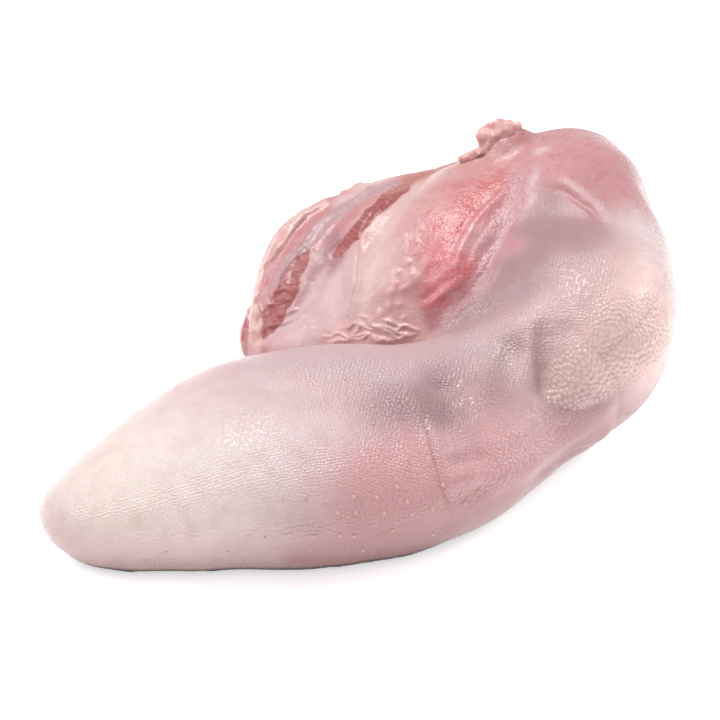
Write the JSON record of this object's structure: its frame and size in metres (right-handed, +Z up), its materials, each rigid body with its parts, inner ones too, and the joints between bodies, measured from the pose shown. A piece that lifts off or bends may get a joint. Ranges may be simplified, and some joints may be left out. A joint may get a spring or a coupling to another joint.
{
  "type": "beef tongue",
  "caption": "Whole raw beef tongue with its root on, curled so that the tip lies in front and the root lies on its side behind.",
  "frame": {"origin": "on the surface it lies on, under the middle of its box", "axes": "+X along the tip arm away from the tip, +Y from the tip arm towards the root, +Z up"},
  "size_m": [0.2513, 0.1956, 0.1088],
  "materials": {
    "tongue_skin": "moist, satin"
  },
  "bodies": {
    "root": {"tongue": "tongue_skin"}
  },
  "joints": []
}
